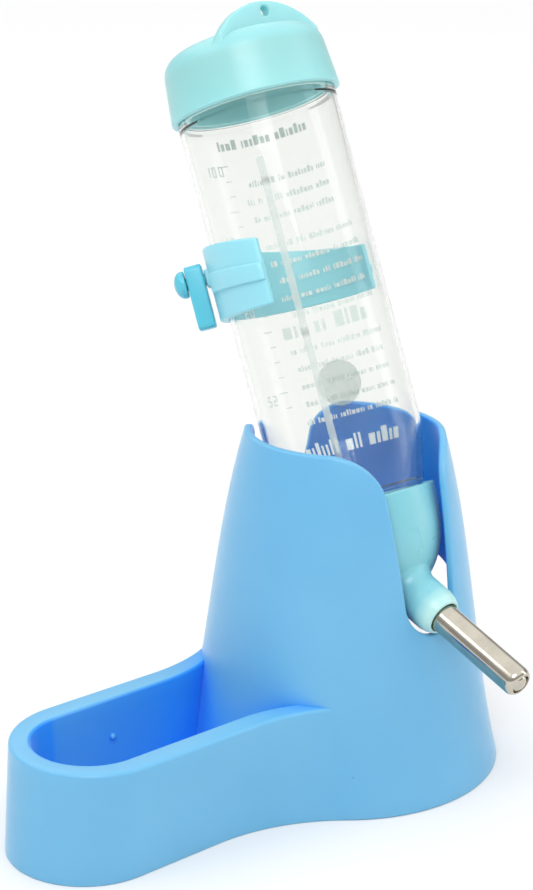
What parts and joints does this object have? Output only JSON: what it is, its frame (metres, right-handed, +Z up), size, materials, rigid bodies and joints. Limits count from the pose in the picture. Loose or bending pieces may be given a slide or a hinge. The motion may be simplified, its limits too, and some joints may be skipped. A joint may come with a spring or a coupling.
{
  "type": "small animal water bottle with stand",
  "caption": "Clear cylindrical drinking bottle with steel ball spout, leaning in a hollow slotted tower with feed trough and hut door; clip ring with latch.",
  "frame": {"origin": "middle of the footprint box, on the floor", "axes": "+Z up; the spout points to -Y, the bottle leans back towards +Y, the trough runs along -X and the hut door opens to +X"},
  "size_m": [0.1396, 0.1216, 0.1909],
  "materials": {
    "stand_blue": "satin moulded polypropylene",
    "clear_plastic": "clear polished polystyrene",
    "cap_aqua": "satin, slightly translucent",
    "nozzle_aqua": "satin",
    "latch_aqua": "satin",
    "silicone": "matte",
    "steel": "polished stainless steel"
  },
  "bodies": {
    "stand": {"stand": "stand_blue"},
    "nozzle": {"nozzle_cap": "nozzle_aqua", "spout_tube": "steel"},
    "gasket": {"nozzle_gasket": "silicone"},
    "bottle": {"bottle_tube": "clear_plastic"},
    "cap": {"top_cap": "cap_aqua"},
    "clip": {"clip_ring": "cap_aqua", "latch_pin": "latch_aqua"},
    "latch": {"latch_lever": "latch_aqua"},
    "tip_ball": {"tip_ball": "steel"},
    "rear_ball": {"rear_ball": "steel"}
  },
  "joints": [
    {"name": "bottle_lift", "type": "slide", "parent": "stand", "child": "nozzle", "axis": [0, 0.3955, 0.9184], "range_m": [0, 0.12]},
    {"name": "gasket_rise", "type": "slide", "parent": "nozzle", "child": "gasket", "axis": [0, 0.3955, 0.9184], "range_m": [0, 0.0045]},
    {"name": "bottle_turn", "type": "hinge", "parent": "gasket", "child": "bottle", "pos_m": [0.03159, 0.0037, 0.0879], "axis": [0, 0.3955, 0.9184], "range_deg": [0, 540.1]},
    {"name": "cap_pull", "type": "slide", "parent": "bottle", "child": "cap", "axis": [0, 0.3955, 0.9184], "range_m": [0, 0.03]},
    {"name": "clip_turn", "type": "hinge", "parent": "bottle", "child": "clip", "pos_m": [0.03159, 0.01952, 0.12464], "axis": [0, 0.3955, 0.9184], "range_deg": [-120, 120]},
    {"name": "latch_turn", "type": "hinge", "parent": "clip", "child": "latch", "pos_m": [0.01461, 0.0349, 0.12302], "axis": [-0.7547, 0.6026, -0.2595], "range_deg": [-90, 90]},
    {"name": "tip_ball_press", "type": "slide", "parent": "nozzle", "child": "tip_ball", "axis": [0, 0.9426, 0.3338], "range_m": [0, 0.0012]},
    {"name": "rear_ball_press", "type": "slide", "parent": "nozzle", "child": "rear_ball", "axis": [0, 0.9426, 0.3338], "range_m": [0, 0.0012]}
  ],
  "couplings": [
    {"joint": "bottle_turn", "follows": "gasket_rise", "rad_per_m": 2094.4},
    {"joint": "rear_ball_press", "follows": "tip_ball_press", "ratio": 1}
  ]
}
